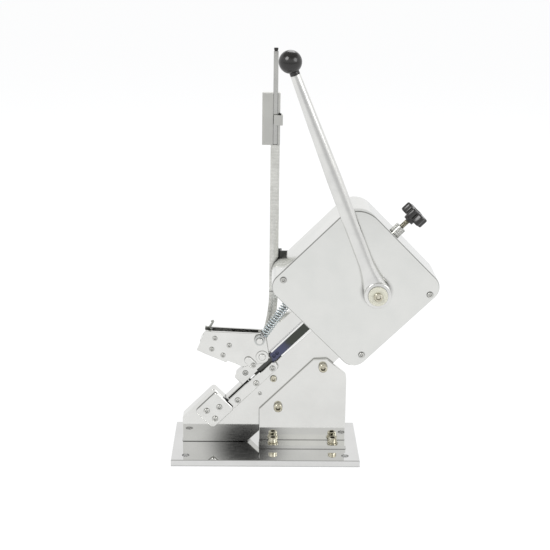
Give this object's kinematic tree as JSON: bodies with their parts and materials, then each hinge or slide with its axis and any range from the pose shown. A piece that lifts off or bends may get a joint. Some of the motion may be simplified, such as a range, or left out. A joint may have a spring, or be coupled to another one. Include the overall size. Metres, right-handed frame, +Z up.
{
  "type": "bag neck clipping machine",
  "caption": "Lever-worked table machine: a rack drives a ram down a sloping channel to close a wire clip round a bag neck in an open mouth.",
  "frame": {"origin": "centre of the base plate's underside, which is the centre of the four bench bolt holes", "axes": "+X to the operator's right, +Y away from the operator, +Z up; the ram slopes down to -X at 45 degrees in the X-Z plane"},
  "size_m": [0.3908, 0.141, 0.6101],
  "materials": {
    "polished_steel": "mirror polished plating",
    "bright_plate": "bright plated, smooth",
    "housing_sheet": "bright plated, soft sheen",
    "lever_steel": "plated over a forged surface",
    "shaft_steel": "ground steel",
    "gear_steel": "machined steel",
    "blued_steel": "dark blued, satin",
    "bronze": "turned bronze",
    "yellow_zinc": "yellow zinc plating",
    "plated_screws": "zinc plated",
    "spring_wire": "bluish zinc plating",
    "black_plastic": "moulded black, slight gloss",
    "nylon": "turned nylon, cream",
    "rail_steel": "drawn bright steel",
    "clip_wire": "drawn clip wire, bright",
    "weight_steel": "plated steel, soft sheen",
    "black_bracket": "black painted"
  },
  "bodies": {
    "frame": {"base_plate": "polished_steel", "frame_plate": "polished_steel", "frame_base_screws": "plated_screws", "mounting_bracket": "polished_steel", "bracket_foot_bolts": "yellow_zinc", "bracket_foot_washers": "yellow_zinc", "bracket_frame_bolts": "yellow_zinc", "die_plate": "bright_plate", "die": "blued_steel", "plate_screws": "plated_screws", "lower_guide_strip": "bright_plate", "upper_guide_strip": "bright_plate", "frame_face_bolts": "yellow_zinc", "gear_housing": "housing_sheet", "front_cover": "housing_sheet", "cover_screws": "plated_screws", "housing_spacers": "shaft_steel", "housing_bolts": "plated_screws", "back_bush": "bronze", "front_bush": "bronze", "rack_guide": "gear_steel", "guide_screws": "plated_screws", "gate_pivot_pin": "shaft_steel", "gate_pivot_nut": "plated_screws", "adjuster_lock_nut": "plated_screws", "clip_rail": "rail_steel", "rail_top_stop": "black_plastic", "rail_bracket": "black_bracket", "rail_bracket_screws": "plated_screws", "clip_stack": "clip_wire"},
    "lever": {"lever_arm": "lever_steel", "ball_knob": "black_plastic", "drive_shaft": "shaft_steel", "pinion": "gear_steel", "pinion_key": "shaft_steel", "nylon_washer": "nylon", "lever_bolt": "yellow_zinc"},
    "ram": {"ram_bar": "blued_steel", "punch": "blued_steel", "punch_screws": "plated_screws", "ram_carriage": "gear_steel", "rack": "gear_steel", "rack_screws": "plated_screws"},
    "gate_arm": {"arm_front_plate": "bright_plate", "arm_back_plate": "bright_plate", "jaw_block": "bright_plate", "jaw_screws": "plated_screws", "rod_bolt": "shaft_steel", "arm_tab": "bright_plate", "finger_pin": "bright_plate"},
    "gate_rod": {"gate_rod": "shaft_steel", "gate_spring": "spring_wire", "rod_collars": "shaft_steel"},
    "latch_finger": {"latch_finger": "bright_plate"},
    "adjuster": {"adjusting_screw": "yellow_zinc", "star_knob": "black_plastic"},
    "clip_weight": {"clip_weight": "weight_steel", "weight_clamp": "weight_steel", "weight_screw": "plated_screws"}
  },
  "joints": [
    {"name": "lever_swing", "type": "hinge", "parent": "frame", "child": "lever", "pos_m": [0.15898, -0.049, 0.26294], "axis": [0, -1, 0], "range_deg": [0, 95], "stiffness_Nm_per_rad": 2, "springref_deg": -57.3},
    {"name": "ram_slide", "type": "slide", "parent": "frame", "child": "ram", "axis": [-0.7071, 0, -0.7071], "range_m": [0, 0.0498]},
    {"name": "gate_pivot", "type": "hinge", "parent": "frame", "child": "gate_arm", "pos_m": [-0.00578, 0, 0.15249], "axis": [0, -1, 0], "range_deg": [0, 40.1]},
    {"name": "gate_rod_pivot", "type": "hinge", "parent": "gate_arm", "child": "gate_rod", "pos_m": [-0.00988, -0.0169, 0.17964], "axis": [0, -1, 0], "range_deg": [-45.7, 0]},
    {"name": "finger_pivot", "type": "hinge", "parent": "gate_arm", "child": "latch_finger", "pos_m": [-0.0862, 0, 0.1866], "axis": [0, -1, 0], "range_deg": [0, 35]},
    {"name": "adjuster_turn", "type": "hinge", "parent": "frame", "child": "adjuster", "pos_m": [0.21226, -0.0103, 0.37173], "axis": [0.7071, 0, 0.7071], "continuous": true},
    {"name": "weight_slide", "type": "slide", "parent": "frame", "child": "clip_weight", "axis": [0, 0, 1], "range_m": [0, 0.058]}
  ],
  "couplings": [
    {"joint": "ram_slide", "follows": "lever_swing", "m_per_rad": 0.03},
    {"joint": "gate_pivot", "follows": "lever_swing", "ratio": 0.42105},
    {"joint": "gate_rod_pivot", "follows": "lever_swing", "ratio": -0.48}
  ]
}
